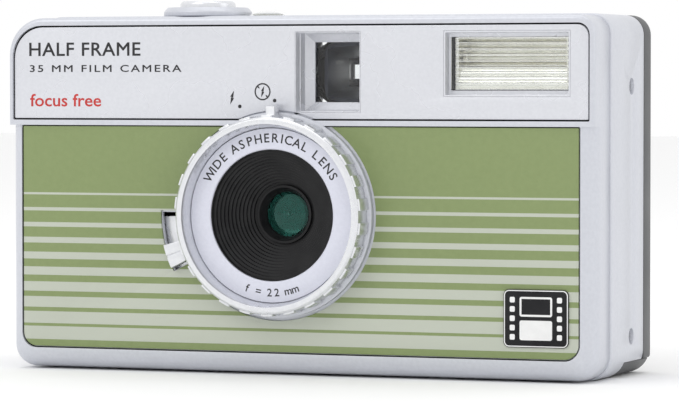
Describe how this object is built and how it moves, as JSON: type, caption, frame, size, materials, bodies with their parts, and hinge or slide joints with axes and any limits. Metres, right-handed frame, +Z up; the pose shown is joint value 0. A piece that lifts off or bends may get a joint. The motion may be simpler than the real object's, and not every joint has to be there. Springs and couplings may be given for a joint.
{
  "type": "half frame camera",
  "caption": "Compact half frame 35 mm film camera with a hinged back, turning flash ring, star filter lever, thumbwheel advance and fold-out rewind crank.",
  "frame": {"origin": "mouth of the tripod socket, in the plane of the base", "axes": "+X towards the cassette side (right as you face the lens), +Y from the lens to the back door, +Z up"},
  "size_m": [0.113, 0.039, 0.0655],
  "materials": {
    "silver_shell": "satin silver-painted moulding",
    "upper_silver": "fine satin silver sheet",
    "panel_green": "striped leather-grain skin",
    "finder_grey": "smooth dark moulding",
    "badge_black": "glossy print",
    "door_grey": "dark grey fine-grain moulding",
    "black_plastic": "matt black moulding",
    "ring_metal": "bright plated",
    "name_silver": "satin",
    "lens_glass": "coated",
    "clear_plastic": "clear polished",
    "reflector": "bright formed reflector",
    "tube_glass": "clear",
    "steel": "plated",
    "brass": "turned",
    "gear_white": "natural moulding",
    "board_green": "solder mask",
    "sleeve_black": "shrink sleeve",
    "cell_grey": "plain sleeve",
    "foam": "dark foam"
  },
  "bodies": {
    "camera_body": {"aperture_plate": "black_plastic", "badge": "badge_black", "base_plate": "door_grey", "battery": "cell_grey", "button_collar": "silver_shell", "button_spring": "steel", "case_screws": "steel", "cassette_chamber": "black_plastic", "counter_window": "clear_plastic", "film_gate": "black_plastic", "finder_bezel": "upper_silver", "finder_eyepiece": "clear_plastic", "finder_front_lens": "clear_plastic", "finder_tunnel": "finder_grey", "flash_bezel": "upper_silver", "flash_board": "board_green", "flash_capacitor": "sleeve_black", "flash_reflector": "reflector", "flash_tube": "tube_glass", "flash_window": "clear_plastic", "front_cover": "silver_shell", "front_lens": "lens_glass", "front_panel": "panel_green", "hinge_pin": "steel", "lens_barrel": "black_plastic", "lens_retainer": "black_plastic", "light_tunnel": "black_plastic", "mechanism_plate": "black_plastic", "mid_frame": "silver_shell", "name_ring": "name_silver", "rear_lens": "lens_glass", "shutter_housing": "black_plastic", "strap_lug": "steel", "take_up_chamber": "black_plastic", "tripod_nut": "brass", "upper_plate": "upper_silver"},
    "door": {"back_door": "door_grey", "eyepiece_bezel": "black_plastic", "door_light_seal": "foam", "pressure_plate": "black_plastic", "pressure_plate_spring": "steel"},
    "latch": {"door_latch": "black_plastic"},
    "button": {"shutter_button": "ring_metal"},
    "lever": {"release_lever": "steel"},
    "blade": {"shutter_blade": "black_plastic"},
    "wheel": {"advance_wheel": "black_plastic", "advance_gear": "gear_white"},
    "spool": {"take_up_spool": "black_plastic"},
    "idler": {"idler_gear": "gear_white"},
    "sprocket": {"sprocket_shaft": "black_plastic", "sprocket_gear": "gear_white"},
    "counter": {"counter_disc": "gear_white"},
    "ring": {"flash_ring": "ring_metal"},
    "star_lever": {"star_filter_lever": "ring_metal"},
    "star": {"star_filter": "clear_plastic"},
    "rewind": {"rewind_spindle": "black_plastic"},
    "crank": {"crank_arm": "black_plastic"},
    "knob": {"crank_knob": "black_plastic"},
    "release": {"rewind_release_button": "black_plastic"},
    "cell_door": {"battery_door": "door_grey"}
  },
  "joints": [
    {"name": "door_hinge", "type": "hinge", "parent": "camera_body", "child": "door", "pos_m": [-0.0531, 0.015, 0.03], "axis": [0, 0, 1], "range_deg": [0, 95]},
    {"name": "latch_slide", "type": "slide", "parent": "door", "child": "latch", "axis": [0, 0, -1], "range_m": [0, 0.003]},
    {"name": "shutter_press", "type": "slide", "parent": "camera_body", "child": "button", "axis": [0, 0, -1], "range_m": [0, 0.0016], "stiffness_N_per_m": 1000, "springref_m": -0.001, "deforming": ["button_spring"]},
    {"name": "lever_turn", "type": "hinge", "parent": "camera_body", "child": "lever", "pos_m": [-0.0135, 0.0011, 0.0505], "axis": [0, -1, 0], "range_deg": [0, 10.5]},
    {"name": "blade_turn", "type": "hinge", "parent": "camera_body", "child": "blade", "pos_m": [-0.01008, -0.0054, 0.03203], "axis": [0, -1, 0], "range_deg": [0, 36]},
    {"name": "wheel_spin", "type": "hinge", "parent": "camera_body", "child": "wheel", "pos_m": [-0.04, 0.0067, 0.055], "axis": [0, 0, 1], "continuous": true},
    {"name": "spool_spin", "type": "hinge", "parent": "camera_body", "child": "spool", "pos_m": [-0.04, 0.0067, 0.025], "axis": [0, 0, 1], "continuous": true},
    {"name": "idler_spin", "type": "hinge", "parent": "camera_body", "child": "idler", "pos_m": [-0.0305, 0.0067, 0.05], "axis": [0, 0, 1], "continuous": true},
    {"name": "sprocket_spin", "type": "hinge", "parent": "camera_body", "child": "sprocket", "pos_m": [-0.021, 0.0067, 0.028], "axis": [0, 0, 1], "continuous": true},
    {"name": "counter_spin", "type": "hinge", "parent": "camera_body", "child": "counter", "pos_m": [-0.0113, 0.0017, 0.061], "axis": [0, 0, 1], "continuous": true},
    {"name": "flash_ring_turn", "type": "hinge", "parent": "camera_body", "child": "ring", "pos_m": [-0.0031, -0.0173, 0.028], "axis": [0, -1, 0], "range_deg": [0, 19.2]},
    {"name": "star_lever_turn", "type": "hinge", "parent": "camera_body", "child": "star_lever", "pos_m": [-0.0031, -0.0124, 0.028], "axis": [0, 1, 0], "range_deg": [0, 14]},
    {"name": "star_filter_turn", "type": "hinge", "parent": "camera_body", "child": "star", "pos_m": [-0.01052, -0.0067, 0.02057], "axis": [0, 1, 0], "range_deg": [0, 57]},
    {"name": "rewind_spin", "type": "hinge", "parent": "camera_body", "child": "rewind", "pos_m": [0.0392, 0.0046, 0.001], "axis": [0, 0, 1], "continuous": true},
    {"name": "crank_fold", "type": "hinge", "parent": "rewind", "child": "crank", "pos_m": [0.0348, 0.0046, 0.00065], "axis": [0, 1, 0], "range_deg": [0, 120]},
    {"name": "knob_spin", "type": "hinge", "parent": "crank", "child": "knob", "pos_m": [0.0434, 0.0046, 0.0005], "axis": [0, 0, 1], "continuous": true},
    {"name": "rewind_release_press", "type": "slide", "parent": "camera_body", "child": "release", "axis": [0, 0, 1], "range_m": [0, 0.0008], "stiffness_N_per_m": 800, "springref_m": -0.001},
    {"name": "battery_door_slide", "type": "slide", "parent": "camera_body", "child": "cell_door", "axis": [0, 1, 0], "range_m": [0, 0.0105]}
  ],
  "couplings": [
    {"joint": "lever_turn", "follows": "shutter_press", "rad_per_m": 106.25},
    {"joint": "blade_turn", "follows": "shutter_press", "rad_per_m": 381.8},
    {"joint": "spool_spin", "follows": "wheel_spin", "ratio": 1},
    {"joint": "idler_spin", "follows": "wheel_spin", "ratio": -1.375},
    {"joint": "sprocket_spin", "follows": "wheel_spin", "ratio": 1},
    {"joint": "counter_spin", "follows": "wheel_spin", "ratio": 0.05},
    {"joint": "star_filter_turn", "follows": "star_lever_turn", "ratio": 4}
  ]
}
